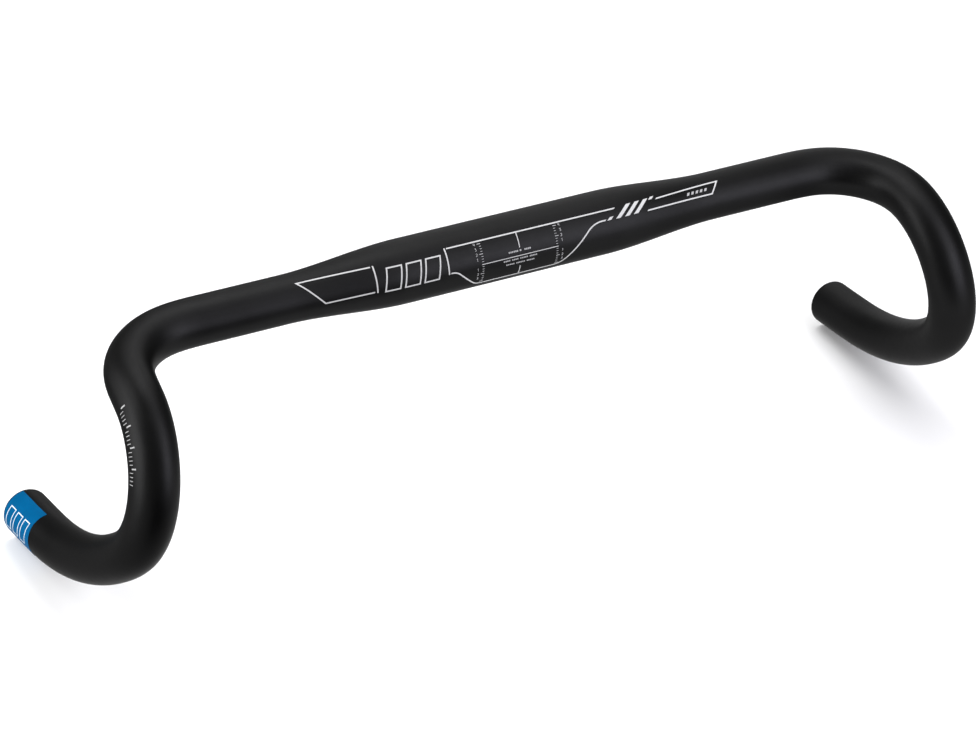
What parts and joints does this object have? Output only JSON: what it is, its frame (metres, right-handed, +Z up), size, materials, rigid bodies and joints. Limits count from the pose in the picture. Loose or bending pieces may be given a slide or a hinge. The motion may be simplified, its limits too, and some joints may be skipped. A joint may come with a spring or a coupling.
{
  "type": "drop handlebar",
  "caption": "Flared compact drop handlebar: a hollow alloy tube with a bulged clamp zone, short ramps, deep round hooks and swept open-ended drops, with thin printed films.",
  "frame": {"origin": "middle of the rear face of the 31.8 mm clamp land, where a stem's cradle seats; the tube's axis is 15.8 mm in front of it", "axes": "+X along the tops towards the rider's left hand, +Y backwards towards the rider (so -Y is forward, the way the ramps reach), +Z up with the ramps level"},
  "size_m": [0.4844, 0.1339, 0.1493],
  "materials": {
    "black_alloy": "matt black anodised",
    "transfer_film": "satin dark transfer film with pale grey print",
    "print_ink": "matt pale grey ink",
    "blue_vinyl": "semi-gloss printed blue vinyl"
  },
  "bodies": {
    "root": {"bar_tube": "black_alloy", "side_panel_right": "transfer_film", "slant_mark": "print_ink", "clamp_scale_panel": "transfer_film", "bar_mark": "print_ink", "side_panel_left": "transfer_film", "lever_scale_right": "print_ink", "lever_scale_left": "print_ink", "end_label_right": "blue_vinyl"}
  },
  "joints": []
}
